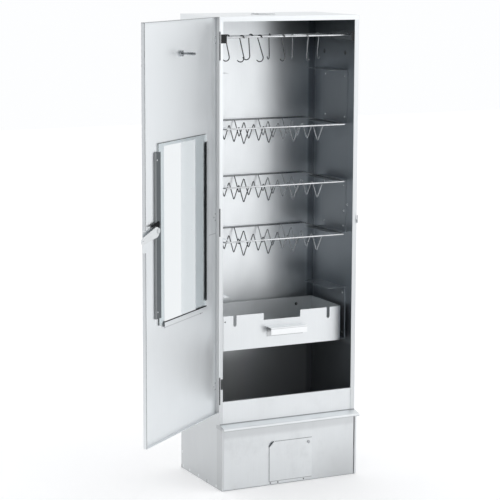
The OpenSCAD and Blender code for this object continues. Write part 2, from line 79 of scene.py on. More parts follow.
# Studio in metres and watts, and the camera fitted to the photograph, in millimetres and degrees
FLOOR_HALF = 9.0
FLOOR_Z = -0.0005
FLOOR_GLOW = 0.22
GLASS_DIM = 0.1
KEY_PLACE = (1.6, -2.2, 2.6)
KEY_TARGET = (0, 0, 0.7)
KEY_SIZE = (1.6, 2.2)
KEY_WATTS = 6
CAMERA_PLACE = Vector((-2165.6, -4293.0, 1374.9))
CAMERA_TURN = (26.207, -9.268, 0.202)
FOCAL_PIXELS = 1871.9
FRAME_PIXELS = 500.0
SENSOR = 36.0

AT_REST = Matrix.Identity(4)
DOOR_TURN = Matrix.Rotation(math.radians(-DOOR_OPEN), 4, "Z")
DOOR_SWING = Matrix.Translation(HINGE) @ DOOR_TURN @ Matrix.Translation(-HINGE)


# Node helpers


class Graph:
    """A material's node tree, with short calls for making and linking nodes."""

    def __init__(self, name):
        self.material = bpy.data.materials.new(name)
        self.material.use_nodes = True
        self.tree = self.material.node_tree
        self.shader = self.tree.nodes["Principled BSDF"]

    def add(self, kind, **settings):
        node = self.tree.nodes.new(kind)
        for key, value in settings.items():
            setattr(node, key, value)
        return node

    def link(self, out, into):
        self.tree.links.new(out, into)

    def coords(self):
        return self.add("ShaderNodeTexCoord").outputs["Object"]

    def place(self, stretch=(1, 1, 1)):
        """Object coordinates in metres: a small stretch draws a pattern out along that axis."""
        mapping = self.add("ShaderNodeMapping")
        mapping.inputs["Scale"].default_value = stretch
        self.link(self.coords(), mapping.inputs["Vector"])
        return mapping.outputs["Vector"]

    def axes(self):
        return self.split(self.coords())

    def door_axes(self):
        """Coordinates in metres as if the door were closed."""
        closed = DOOR_SWING.inverted()
        mapping = self.add("ShaderNodeMapping")
        mapping.inputs["Rotation"].default_value = closed.to_euler()
        mapping.inputs["Location"].default_value = closed.translation * MM
        self.link(self.coords(), mapping.inputs["Vector"])
        return self.split(mapping.outputs["Vector"])

    def split(self, vector):
        node = self.add("ShaderNodeSeparateXYZ")
        self.link(vector, node.inputs["Vector"])
        return node.outputs["X"], node.outputs["Y"], node.outputs["Z"]

    def noise(self, vector, scale, detail=3.0, roughness=0.55):
        node = self.add("ShaderNodeTexNoise")
        node.inputs["Scale"].default_value = scale
        node.inputs["Detail"].default_value = detail
        node.inputs["Roughness"].default_value = roughness
        self.link(vector, node.inputs["Vector"])
        return node.outputs["Fac"]

    def ramp(self, value, low, high, to_low, to_high):
        node = self.add("ShaderNodeMapRange", clamp=True)
        node.interpolation_type = "SMOOTHSTEP"
        ends = {"From Min": low, "From Max": high, "To Min": to_low, "To Max": to_high}
        for key, number in ends.items():
            node.inputs[key].default_value = number
        self.link(value, node.inputs["Value"])
        return node.outputs["Result"]

    def above(self, value, level, soft=0.4):
        """One where a value in metres is over a level in millimetres."""
        return self.ramp(value, (level - soft) * MM, (level + soft) * MM, 0.0, 1.0)

    def below(self, value, level, soft=0.4):
        return self.ramp(value, (level - soft) * MM, (level + soft) * MM, 1.0, 0.0)

    def within(self, value, low, high, soft=0.4):
        return self.every(self.above(value, low, soft), self.below(value, high, soft))

    def every(self, *masks):
        """Where all the masks are set."""
        both = masks[0]
        for mask in masks[1:]:
            both = self.math("MULTIPLY", both, mask)
        return both

    def math(self, operation, a, b=0.0):
        node = self.add("ShaderNodeMath", operation=operation)
        for socket, value in zip(node.inputs, (a, b)):
            if isinstance(value, (int, float)):
                socket.default_value = value
            else:
                self.link(value, socket)
        return node.outputs["Value"]

    def distance(self, a, b):
        """Length of the diagonal over two sides."""
        squares = self.math("ADD", self.math("MULTIPLY", a, a), self.math("MULTIPLY", b, b))
        return self.math("SQRT", squares)

    def mix(self, factor, a, b):
        node = self.add("ShaderNodeMix", data_type="RGBA")
        for key, value in (("Factor", factor), ("A", a), ("B", b)):
            socket = next(s for s in node.inputs if s.name == key and s.enabled)
            if isinstance(value, tuple):
                socket.default_value = value + (1,)
            else:
                self.link(value, socket)
        return next(s for s in node.outputs if s.enabled)

    def bump(self, height, strength, distance):
        node = self.add("ShaderNodeBump")
        node.inputs["Strength"].default_value = strength
        node.inputs["Distance"].default_value = distance
        self.link(height, node.inputs["Height"])
        self.link(node.outputs["Normal"], self.shader.inputs["Normal"])


def set_shader(graph, **values):
    for key, value in values.items():
        socket = key.replace("_", " ").title().replace("Ior", "IOR")
        graph.shader.inputs[socket].default_value = value


def shade(color, factor):
    return tuple(c * factor for c in color)


# Materials


def sheet_metal(name, color, rough=0.36, drawn=0.0, stains_and_shade=(), matt=None):
    """Rolled, coated sheet: faint clouds, fine upright rolling lines, a few wiped smudges.

    drawn stretches the gloss along the rolling lines. The masks given with their colours bring real
    marks and much painted light and shade, and matt is a mask where the sheet has lost its metal gloss.
    """
    g = Graph(name)
    clouds = g.noise(g.place(), 6.0, 3.0)
    rolled = g.noise(g.place((1, 1, 0.02)), 620.0, 2.0)
    smudge = g.noise(g.place((1, 1, 0.45)), 24.0, 5.0, 0.6)
    tone = g.math("ADD", g.math("MULTIPLY", clouds, 0.6), g.math("MULTIPLY", rolled, 0.4))
    base = g.mix(g.ramp(tone, 0.35, 0.65, 0.0, 1.0), shade(color, 0.965), color)
    # Real marks, and painted light and shade, laid over the sheet's tone
    for stain_and_shade, tint in stains_and_shade:
        base = g.mix(stain_and_shade(g), base, tint)
    g.link(base, g.shader.inputs["Base Color"])
    wear = g.math("ADD", g.math("MULTIPLY", smudge, 0.65), g.math("MULTIPLY", rolled, 0.35))
    g.link(g.ramp(wear, 0.35, 0.65, rough - 0.025, rough + 0.035), g.shader.inputs["Roughness"])
    g.bump(rolled, 0.04, 0.0002)
    set_shader(g, metallic=1.0)
    if matt:
        g.link(g.math("SUBTRACT", 1.0, matt(g)), g.shader.inputs["Metallic"])
    if drawn:
        tangent = g.add("ShaderNodeTangent", direction_type="RADIAL", axis="Z")
        g.link(tangent.outputs["Tangent"], g.shader.inputs["Tangent"])
        set_shader(g, anisotropic=drawn, anisotropic_rotation=0.25)
    return g.material


def wire_metal(name, color, rough=0.28, painted_shade=None):
    """Drawn wire: blotchy plating with fine grain. The optional mask and its colour paint shade onto the
    wire.
    """
    g = Graph(name)
    blotch = g.noise(g.place(), 45.0, 3.0)
    grain = g.noise(g.place(), 900.0, 2.0)
    base = g.mix(g.ramp(blotch, 0.35, 0.65, 0.0, 1.0), shade(color, 0.8), color)
    if painted_shade:
        stain_and_shade, tint = painted_shade
        base = g.mix(stain_and_shade(g), base, tint)
    g.link(base, g.shader.inputs["Base Color"])
    g.link(g.ramp(grain, 0.3, 0.7, rough - 0.06, rough + 0.08), g.shader.inputs["Roughness"])
    g.bump(grain, 0.08, 0.0002)
    set_shader(g, metallic=1.0)
    return g.material


def paint(name, color, rough=0.45, gloss=0.5):
    g = Graph(name)
    blotch = g.noise(g.place(), 120.0, 3.0)
    grain = g.noise(g.place(), 1500.0, 2.0)
    base = g.mix(g.ramp(blotch, 0.35, 0.65, 0.0, 1.0), shade(color, 0.75), color)
    g.link(base, g.shader.inputs["Base Color"])
    g.link(g.ramp(grain, 0.3, 0.7, rough - 0.1, rough + 0.1), g.shader.inputs["Roughness"])
    g.bump(grain, 0.12, 0.0002)
    set_shader(g, specular_ior_level=gloss)
    return g.material


def clear_glass(name):
    g = Graph(name)
    smear = g.noise(g.place((1, 1, 0.3)), 30.0, 3.0)
    g.link(g.ramp(smear, 0.45, 0.8, 0.0, 0.04), g.shader.inputs["Roughness"])
    set_shader(g, base_color=(0.9, 0.925, 0.93, 1), transmission_weight=1.0, ior=1.1)
    return g.material


# Share of the metal gloss that is lost where a surface is matt
MATT = 0.75


def fire_room_shade(g):
    """Painted shade in the fire room, as high as the rim of the drip tray and lighter on the left."""
    across, _, level = g.axes()
    cloud = g.noise(g.place(), 14.0, 3.0)
    left = g.ramp(across, -0.085, 0.07, 1.0, 0.0)
    # wiped is where the painted shade is lighter: on the left, and most just under the tray
    wiped = g.every(left, g.ramp(level, 0.265, 0.33, 0.2, 0.56))
    edge = g.math("ADD", level, g.math("MULTIPLY", cloud, 0.02))
    return g.every(inside(g), g.math("SUBTRACT", 0.9, wiped), g.ramp(edge, 0.415, 0.445, 1.0, 0.0))


def hole_shadow(g):
    """A painted black shadow on the back wall behind the drip tray's hole."""
    across, _, level = g.axes()
    return g.every(inside(g), g.within(across, 116.0, 146.0, 5.0), g.within(level, 404.0, 434.0, 5.0))


def inside(g):
    """The faces that look into the cabinet."""
    across, deep, _ = g.axes()
    between = g.every(g.above(deep, FRONT + 1.2, 0.15), g.below(deep, BACK - 0.5, 0.1))
    return g.every(between, g.below(g.math("ABSOLUTE", across), HALF_W - 0.5, 0.1))


def flange(g):
    return g.below(g.axes()[1], FRONT + 0.5, 0.2)


def low_flange(g):
    """Painted shade on the left flange, darker towards its foot."""
    return g.every(flange(g), g.ramp(g.axes()[2], 0.3, 1.0, 1.0, 0.0))


def right_flange(g):
    """Painted shade on the right flange, a little at its top and more towards its foot."""
    return g.every(flange(g), g.ramp(g.axes()[2], 0.3, 1.1, 1.0, 0.3))


def wall_shade(g):
    """Painted shade low on the inner faces of the side walls only."""
    return g.every(inside(g), g.ramp(g.axes()[2], 0.335, 0.36, 0.88, 0.0))


def top_right_shade(g):
    """Painted shade high on the right, under the top."""
    across, _, level = g.axes()
    return g.every(inside(g), g.ramp(level, 1.05, 1.19, 0.0, 0.75), g.ramp(across, 0.0, 0.12, 0.0, 1.0))


def dents(g):
    """Dark burst marks of two dents on the right wall."""
    _, deep, level = g.axes()
    ragged = g.math("MULTIPLY", g.noise(g.place(), 260.0, 3.0), 0.006)
    marks = []
    for back, up in WALL_DENTS:
        off = g.math("SUBTRACT", deep, back * MM)
        rise = g.math("SUBTRACT", level, up * MM)
        marks.append(g.below(g.math("ADD", g.distance(off, rise), ragged), 8.6, 1.6))
    return g.every(inside(g), g.math("MULTIPLY", g.math("MAXIMUM", *marks), 0.8))


# Painted shade on the inner faces of the right wall and of the back
def right_wall_shade(g):
    return g.math("MAXIMUM", wall_shade(g), top_right_shade(g))


def back_wall_shade(g):
    return g.math("MAXIMUM", fire_room_shade(g), top_right_shade(g))


# Where the inside's painted shade lies, most of the metal gloss is taken away too
def fire_matt(g):
    return g.math("MULTIPLY", fire_room_shade(g), MATT)


def wall_matt(g):
    return g.math("MULTIPLY", wall_shade(g), MATT)


# Outside faces of the side walls, back and door, where painted shade lies
def outer_skin(g):
    return g.above(g.math("ABSOLUTE", g.axes()[0]), HALF_W - 0.3, 0.1)


def outer_back(g):
    return g.above(g.axes()[1], BACK - 0.3, 0.1)


def outer_door(g):
    return g.below(g.door_axes()[1], DOOR_SKIN - 0.6, 0.1)


# Painted shade, darker still, low on the outside of the side walls
def base_skin(g):
    return g.every(outer_skin(g), g.ramp(g.axes()[2], 0.16, 0.3, 1.0, 0.0))


def base_corner(g):
    """Painted shade on the front strip of each base wall, as if it were bent in a little."""
    _, deep, level = g.axes()
    bent = g.every(outer_skin(g), g.below(deep, FRONT + 18.0, 2.0), g.below(level, 160.0))
    return g.math("MULTIPLY", bent, 0.6)


def foot_marks(g):
    """Small dark nicks along the foot of the walls."""
    _, deep, level = g.axes()
    nicks = g.math("MAXIMUM", g.within(deep, -44.0, -41.0), g.within(deep, 114.0, 118.0))
    return g.every(outer_skin(g), nicks, g.below(level, 9.0, 1.5))


def seam_shade(g):
    """A dark line of painted shade in the joint over the ledge."""
    _, deep, level = g.axes()
    return g.every(g.within(level, LEDGE_Z, LEDGE_Z + 2.2), g.below(deep, FRONT + 1.4, 0.15))


def mottle(g):
    """Cloudy handling marks of the base."""
    cloud = g.noise(g.place((1, 1, 0.7)), 17.0, 6.0, 0.62)
    return g.ramp(cloud, 0.46, 0.72, 0.0, 0.7)


def drawer_shade(g):
    """Painted shade towards the drawer front's lower right and along its foot, and the ledge's painted
    shadow on the strip under it.
    """
    across, _, level = g.axes()
    low = g.ramp(level, 0.0, 0.14, 1.0, 0.15)
    corner = g.every(g.ramp(across, -0.02, 0.19, 0.0, 0.9), low)
    brow = g.math("MULTIPLY", g.above(level, 136.0, 7.0), 0.55)
    foot = g.math("MULTIPLY", g.below(level, 2.4, 0.5), 0.95)
    return g.math("MAXIMUM", corner, g.math("MAXIMUM", brow, foot))


def ledge_shade_lines(g):
    """Painted shade under the ledge's lip and in its folded ends."""
    across, _, level = g.axes()
    lip_foot = g.below(level, LEDGE_LOW + 1.2)
    end = g.above(g.math("ABSOLUTE", across), HALF_W + 0.7, 0.2)
    return g.math("MULTIPLY", g.math("MAXIMUM", lip_foot, end), 0.7)


def flap_shadow_rim(g):
    """Painted shadow round the air flap's left, rounded and top sides, and along its foot."""
    across, _, level = g.axes()
    left = g.math("MAXIMUM", g.math("SUBTRACT", FLAP_ROUND_X * MM, across), 0.0)
    up = g.math("MAXIMUM", g.math("SUBTRACT", level, FLAP_ROUND_Z * MM), 0.0)
    rim = g.above(g.distance(left, up), FLAP_ROUND - 1.1)
    return g.math("MAXIMUM", rim, g.below(level, FLAP_LOW + 1.2))


# The rails on the right, which carry painted shade
def right_rails(g):
    return g.above(g.axes()[0], 0.0, 1.0)


def rail_matt(g):
    return g.math("MULTIPLY", right_rails(g), 0.15)


def back_corner(g):
    """Painted shade in the upright corner where the right wall meets the back."""
    across, deep, _ = g.axes()
    return g.every(inside(g), g.above(across, 178.0, 4.0), g.above(deep, 108.0, 4.0))


def bracket_flap(g):
    return g.below(g.axes()[1], BRACKET_FRONT + 1.3, 0.2)


def tray_inside(g):
    """Inner faces of the drip tray, dull with dried water and more so on the left."""
    across, deep, _ = g.axes()
    return g.every(g.above(deep, TRAY_FRONT + 2.0, 1.0), g.ramp(across, -0.13, 0.12, 0.85, 0.12))


def grip_shade_lines(g):
    """Painted shade along the fold over the handle's lip and in its hollow."""
    _, deep, level = g.axes()
    fold = g.every(g.below(deep, GRIP_FRONT + 0.4, 0.2), g.within(level, GRIP_Z - 4.0, GRIP_Z - 1.6))
    hollow = g.every(g.above(deep, GRIP_FRONT + 0.8, 0.2), g.below(level, GRIP_Z - 0.8, 0.2))
    return g.math("MULTIPLY", g.math("MAXIMUM", g.math("MULTIPLY", fold, 0.6), hollow), 0.6)


def hinge_rim(g):
    """The inner face of the door's rim on the hinge side, which carries painted shade."""
    across, deep, _ = g.door_axes()
    return g.every(g.below(across, DOOR_LEFT + 2.0), g.above(deep, DOOR_SKIN + 0.4, 0.2))


def hinge_side(g):
    """Painted shade on a strip of the door along its hinges."""
    return g.ramp(g.door_axes()[0], -0.182, -0.16, 1.0, 0.0)


def under_glass(g):
    """Painted light on the strips of the door that the glass overlaps, against the shade of the glass.
    """
    across, _, level = g.door_axes()
    return g.every(g.within(across, -131.0, 134.0), g.within(level, GLASS_LOW, GLASS_HIGH))


# Painted light, growing towards the top of the door
def high_door(g):
    return g.ramp(g.axes()[2], 0.5, 1.05, 0.0, 1.0)


def door_shade_lines(g):
    """Lines of painted shade: top fold, free edge, along the latch channel, under the glass and across a
    hinge.
    """
    across, deep, level = g.door_axes()
    top = g.above(level, DOOR_TOP - 1.6)
    edge = g.every(g.above(across, -DOOR_LEFT - 1.4), g.above(deep, DOOR_IN - 1.2, 0.2))
    foot = g.every(g.within(across, 136.8, 139.4), g.within(level, CHANNEL_LOW, CHANNEL_HIGH))
    under = g.every(g.within(across, -118.0, 82.0, 3.0), g.within(level, 476.0, 479.6, 0.9))
    strap = g.every(g.within(across, -191.0, -152.0, 3.0), g.within(level, 664.2, 666.2))
    strong = g.math("MAXIMUM", top, g.math("MAXIMUM", edge, foot))
    faint = g.math("MULTIPLY", g.math("MAXIMUM", under, strap), 0.4)
    return g.math("MAXIMUM", g.math("MULTIPLY", strong, 0.8), faint)


# The hinge barrels, which carry painted shade
def leaf_barrel(g):
    return g.below(g.axes()[1], FRONT + 1.2, 0.2)


def strap_barrel(g):
    return g.below(g.door_axes()[0], DOOR_LEFT - 0.6, 0.2)


def channel_riser(g):
    return g.above(g.door_axes()[0], 135.2, 0.2)


def painted_shade_left(g):
    """Painted shade on wire towards the left, darker than wire on the right."""
    return g.ramp(g.axes()[0], -0.06, 0.09, 1.0, 0.0)


# Painted shade on the rack frame behind its front rod
def painted_shade_behind(g):
    return g.ramp(g.axes()[1], -0.108, -0.1, 0.0, 1.0)


def all_over(_):
    return MATT


# Painted shade of the cabinet's inside
INTERIOR_SHADE = (0.062, 0.069, 0.076)
STEEL = (0.86, 0.885, 0.9)
SHADED = (0.5, 0.535, 0.57)
NEAR_BLACK = (0.012, 0.013, 0.014)
# The next two are painted shade: dark lines at folds, joints and edges, and the hinge barrels
SHADE_LINE = (0.3, 0.31, 0.32)
BARREL_SHADE = (0.1, 0.105, 0.11)
HINGE_STEEL = (0.74, 0.76, 0.775)
ROD = (0.74, 0.755, 0.77)
# Painted shade on wire towards the left
SHADED_WIRE = (0.1, 0.104, 0.108)
WIRE = (0.6, 0.615, 0.63)
# The copies of STEEL, lighter or darker, set each sheet to how brightly it stands in the light: painted
# light and shade
BASE_STEEL = shade(STEEL, 0.9)
# The next three are painted shade: on the outside faces, on the drawer front and in the back corner
OUTER = shade(STEEL, 0.76)
DRAWER_SHADE_TONE = shade(STEEL, 0.64)
CORNER_SHADE = shade(SHADED, 0.85)
SHEET_PALE = sheet_metal("sheet_pale", STEEL)
# Painted light on the top panel's front face
SHEET_TOP = sheet_metal("sheet_top", shade(STEEL, 0.92), stains_and_shade=[(flange, shade(STEEL, 1.11))])
SHEET_SILL = sheet_metal(
    "sheet_sill", shade(STEEL, 0.93), stains_and_shade=[(mottle, shade(STEEL, 0.85)), (seam_shade, SHADE_LINE)])
SHEET_LEDGE = sheet_metal("sheet_ledge", shade(STEEL, 0.93), stains_and_shade=[(ledge_shade_lines, SHADE_LINE)])
SHEET_DRAWER = sheet_metal(
    "sheet_drawer", BASE_STEEL, stains_and_shade=[(mottle, shade(STEEL, 0.78)), (drawer_shade, DRAWER_SHADE_TONE)])
SHEET_FLAP = sheet_metal(
    "sheet_flap", BASE_STEEL, stains_and_shade=[(mottle, shade(STEEL, 0.78)), (flap_shadow_rim, SHADE_LINE)])
# The door: painted light high up and under the glass, painted shade along its hinges, on its rim, in
# lines and on its outside
SHEET_DOOR = sheet_metal(
    "sheet_door", shade(STEEL, 1.02), rough=0.42, matt=hinge_rim,
    stains_and_shade=[(high_door, shade(STEEL, 1.1)), (under_glass, shade(STEEL, 1.11)),
            (hinge_side, shade(STEEL, 0.88)), (hinge_rim, shade(STEEL, 0.72)),
            (door_shade_lines, SHADE_LINE), (outer_door, OUTER)])
# The left wall: painted light on its flange, painted shade low inside, down the flange, on the outside
# and in the joint over the ledge
SHEET_LEFT = sheet_metal(
    "sheet_left", STEEL, drawn=0.6, matt=wall_matt,
    stains_and_shade=[(wall_shade, INTERIOR_SHADE), (flange, shade(STEEL, 1.1)), (low_flange, shade(STEEL, 0.77)),
            (outer_skin, shade(STEEL, 0.88)), (base_skin, shade(STEEL, 0.66)),
            (base_corner, shade(STEEL, 0.56)), (foot_marks, NEAR_BLACK), (seam_shade, SHADE_LINE)])
# The right wall is a darker copy of the steel, with more painted shade in its back corner, low inside,
# high under the top, down its flange, on its outside and in the joint over the ledge
SHEET_RIGHT = sheet_metal(
    "sheet_right", SHADED, drawn=0.6, matt=wall_matt,
    stains_and_shade=[(back_corner, CORNER_SHADE), (right_wall_shade, INTERIOR_SHADE), (dents, NEAR_BLACK), (flange, STEEL),
            (right_flange, shade(STEEL, 0.78)), (outer_skin, OUTER),
            (foot_marks, NEAR_BLACK), (seam_shade, SHADE_LINE)])
# The back is a lighter copy of the steel, with painted shade in its corner, low inside, high on the
# right, behind the tray's hole and on its outside
SHEET_BACK = sheet_metal(
    "sheet_back", shade(STEEL, 1.1), drawn=0.6, matt=fire_matt,
    stains_and_shade=[(back_corner, CORNER_SHADE), (back_wall_shade, INTERIOR_SHADE), (hole_shadow, NEAR_BLACK), (outer_back, OUTER)])
# Painted shade on the right rails
SHEET_RAIL = sheet_metal(
    "sheet_rail", STEEL, drawn=0.6, matt=rail_matt, stains_and_shade=[(right_rails, shade(SHADED, 0.9))])
SHEET_TRAY = sheet_metal("sheet_tray", shade(STEEL, 0.94), rough=0.34, matt=tray_inside)
# Painted light: the handle is paler than the tray
SHEET_GRIP = sheet_metal("sheet_grip", (0.94, 0.955, 0.965), rough=0.3, stains_and_shade=[(grip_shade_lines, SHADE_LINE)])
SHEET_DULL = sheet_metal("sheet_dull", (0.4, 0.42, 0.44), rough=0.42)
# Painted light: the latch lever, keeper and vent are pale and matt, which lifts the shade on their edges
# and under the vent's lid
CAST_PALE = sheet_metal("cast_pale", (0.82, 0.84, 0.85), rough=0.5, matt=all_over)
VENT_PALE = sheet_metal("vent_pale", (0.95, 0.96, 0.97), rough=0.5, matt=all_over)
HINGE_LEAF = sheet_metal("hinge_leaf", HINGE_STEEL, rough=0.4, stains_and_shade=[(leaf_barrel, BARREL_SHADE)])
HINGE_STRAP = sheet_metal("hinge_strap", HINGE_STEEL, rough=0.4, stains_and_shade=[(strap_barrel, BARREL_SHADE)])
# Painted shade: the latch-side channel is dark, and its riser lighter and matt
CHANNEL_DARK = sheet_metal(
    "channel_dark", (0.15, 0.165, 0.175), rough=0.45, matt=channel_riser,
    stains_and_shade=[(channel_riser, (0.34, 0.355, 0.365))])
BRACKET = sheet_metal(
    "hook_bracket", (0.15, 0.16, 0.17), rough=0.45, matt=all_over, stains_and_shade=[(bracket_flap, NEAR_BLACK)])
RACK_ROD = wire_metal("rack_rod", ROD, rough=0.24, painted_shade=(painted_shade_behind, (0.27, 0.28, 0.29)))
RACK_WIRE = wire_metal("rack_wire", WIRE, rough=0.24, painted_shade=(painted_shade_left, SHADED_WIRE))
HOOK_WIRE = wire_metal(
    "hook_wire", shade(WIRE, 0.85), rough=0.24, painted_shade=(painted_shade_left, shade(SHADED_WIRE, 0.7)))
HOOK_ROD = wire_metal("hook_rod", ROD, rough=0.22)
BRIGHT = wire_metal("bright_rivet", (0.95, 0.96, 0.97), rough=0.14)
ZINC = wire_metal("zinc_fittings", (0.8, 0.82, 0.835), rough=0.32)
STEM = wire_metal("stem_steel", (0.42, 0.435, 0.45), rough=0.22)
DARK_DOT = paint("dark_rivet", (0.09, 0.095, 0.1))
BLACK = paint("black_leaf", (0.012, 0.012, 0.014), rough=0.7, gloss=0.1)
# Dark strips standing for the shade in the glass channels' mouths, and for the glass's ground edge
DARK_STRIP = paint("window_dark_strip", (0.018, 0.021, 0.023), rough=0.7, gloss=0.1)
RED = paint("needle_red", (0.6, 0.05, 0.03))
DIAL_WHITE = paint("dial_white", (0.85, 0.85, 0.83))
DIAL_BLACK = paint("dial_black", (0.03, 0.03, 0.03))
GLASS = clear_glass("window_glass")

LOOKS = {
    SHEET_PALE: "channel_bottom channel_hinge_side",
    SHEET_TOP: "top_panel",
    SHEET_SILL: "sill_panel",
    SHEET_LEDGE: "ledge",
    SHEET_DRAWER: "drawer_front",
    SHEET_FLAP: "flap",
    SHEET_LEFT: "left_side",
    SHEET_RIGHT: "right_side",
    SHEET_BACK: "back_panel",
    SHEET_RAIL: "rail_left_lower rail_left_middle rail_left_upper "
                "rail_right_lower rail_right_middle rail_right_upper",
    SHEET_DOOR: "door_panel",
    SHEET_TRAY: "tray",
    SHEET_GRIP: "tray_handle",
    SHEET_DULL: "base_floor drawer_box",
    CAST_PALE: "latch_lever keeper",
    VENT_PALE: "vent_collar vent_lid",
    HINGE_LEAF: "hinge_leaf_lower hinge_leaf_middle hinge_leaf_upper",
    HINGE_STRAP: "hinge_strap_lower hinge_strap_middle hinge_strap_upper",
    CHANNEL_DARK: "channel_latch_side",
    BRACKET: "hook_bracket_left hook_bracket_right",
    RACK_ROD: "rack_top_frame rack_middle_frame rack_lower_frame",
    RACK_WIRE: "rack_top_wires rack_middle_wires rack_lower_wires",
    HOOK_ROD: "hook_rod_rear hook_rod_front",
    HOOK_WIRE: " ".join(f"hook_{n}" for n in range(1, 10)),
    ZINC: "hinge_pins latch_pivot",
    STEM: "dial_case stem_nut flap_rivet",
    BLACK: "latch_spring",
    RED: "dial_needle",
    GLASS: "glass dial_lens",
}
for look, names in LOOKS.items():
    for name in names.split():
        mesh = nodes[name].data
        mesh.materials.clear()
        mesh.materials.append(look)


# Small fittings


def facing(direction):
    return Vector(direction).to_track_quat("Z", "Y").to_matrix().to_4x4()


def lathe(shape, profile, segments, place):
    """Adds a turned solid to a bmesh: profile is radius and height from the axis out, in millimetres."""
    rings = []
    for radius, height in profile:
        if radius == 0:
            rings.append([shape.verts.new(place @ Vector((0, 0, height)))])
            continue
        ring = []
        for k in range(segments):
            a = 2 * math.pi * k / segments
            spot = Vector((radius * math.cos(a), radius * math.sin(a), height))
            ring.append(shape.verts.new(place @ spot))
        rings.append(ring)
    for low, high in zip(rings, rings[1:]):
        for k in range(segments):
            a, b = low[k % len(low)], low[(k + 1) % len(low)]
            c, d = high[(k + 1) % len(high)], high[k % len(high)]
            corners = [v for i, v in enumerate((a, b, c, d)) if v not in (a, b, c, d)[:i]]
            if len(corners) > 2:
                shape.faces.new(corners)


def plate(shape, outline, low, high, place=AT_REST):
    """Adds a flat plate to a bmesh: its outline, from one height to another, in millimetres."""
    floor = [shape.verts.new(place @ Vector((x, y, low))) for x, y in outline]
    roof = [shape.verts.new(place @ Vector((x, y, high))) for x, y in outline]
    shape.faces.new(floor[::-1])
    shape.faces.new(roof)
    for k in range(len(outline)):
        n = (k + 1) % len(outline)
        shape.faces.new((floor[k], floor[n], roof[n], roof[k]))


def finish_piece(name, shape, look, body, swing=AT_REST, smooth=True):
    """Turns a bmesh in millimetres into a piece in metres that rides on a body."""
    bmesh.ops.recalc_face_normals(shape, faces=shape.faces[:])
    shape.transform(Matrix.Scale(MM, 4) @ swing)
    mesh = bpy.data.meshes.new(name)
    shape.to_mesh(mesh)
    shape.free()
    mesh.materials.append(look)
    if smooth:
        mesh.shade_smooth()
        mesh.set_sharp_from_angle(angle=math.radians(35))
    piece = bpy.data.objects.new(name, mesh)
    bpy.context.scene.collection.objects.link(piece)
    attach(piece, body)


# Radius and height of each, from the axis out
RIVET = [(0, 0.7), (0.8, 0.7), (0.9, 1.0), (1.6, 0.9), (2.5, 0.55), (3.0, 0.0), (2.6, -0.2)]
SMALL_RIVET = [(0, 0.4), (0.5, 0.4), (0.6, 0.65), (1.1, 0.55), (1.7, 0.3), (2.0, 0.0), (1.8, -0.2)]
SCREW_END = [
    (0, 4.4), (1.1, 4.2), (1.5, 3.6), (1.5, 1.6), (2.9, 1.5), (3.2, 1.1), (3.2, 0.0), (3.0, -0.2)]
SPOT_WELD = [(0, -0.05), (1.6, 0.0), (2.4, 0.18), (3.0, 0.12), (3.4, -0.05)]
DENT = [(0, 0.25), (1.2, 0.55), (2.4, 0.3), (4.2, 0.15), (5.0, -0.05)]


def fasteners(name, profile, spots, look, body, swing=AT_REST):
    """One piece of many fasteners: spots is place and direction of each, in millimetres."""
    shape = bmesh.new()
    for spot, direction in spots:
        lathe(shape, profile, 20, Matrix.Translation(spot) @ facing(direction))
    finish_piece(name, shape, look, body, swing)


def cabinet_fasteners():
    rails = []
    for level in RAIL_LEVELS:
        for rise in (15.0, 122.0):
            for deep in (-52.0, 52.0):
                for side in (-1, 1):
                    rails.append(((side * (INNER_W - SHEET), deep, level + rise), (-side, 0, 0)))
                    rails.append(((side * HALF_W, deep, level + rise), (side, 0, 0)))
    fasteners("rail_rivets", RIVET, rails, BRIGHT, "cabinet")
    leaves = []
    for level in HINGE_LEVELS:
        for rise in (-42.0, -16.0, 13.0):
            leaves.append(((-HALF_W - HINGE_PLATE, FRONT + 13.0, level + rise), (-1, 0, 0)))
    fasteners("hinge_leaf_rivets", RIVET, leaves, ZINC, "cabinet")
    keeper = [((HALF_W + KEEPER_T, deep, rise), (1, 0, 0)) for deep, rise in KEEPER_SCREWS]
    fasteners("keeper_rivets", RIVET, keeper, ZINC, "cabinet")
    ends = [((INNER_W, deep, rise), (-1, 0, 0)) for deep, rise in KEEPER_SCREWS]
    fasteners("keeper_rivet_ends", SCREW_END, ends, BRIGHT, "cabinet")
    welds = []
    for side in (-1, 1):
        for rise in range(45, 1180, 92):
            welds.append(((side * HALF_W, BACK - 7.0, float(rise)), (side, 0, 0)))
        for deep in (-98.0, -47.0, 10.0, 66.0, 110.0):
            welds.append(((side * HALF_W, deep, 6.5), (side, 0, 0)))
    for across in range(-170, 171, 68):
        welds.append(((float(across), BACK, 1190.0), (0, 1, 0)))
        welds.append(((float(across), BACK, 8.0), (0, 1, 0)))
    fasteners("spot_welds", SPOT_WELD, welds, SHEET_PALE, "cabinet")
    bumps = [((INNER_W, deep, rise), (-1, 0, 0)) for deep, rise in WALL_DENTS]
    fasteners("wall_dents", DENT, bumps, DARK_DOT, "cabinet")


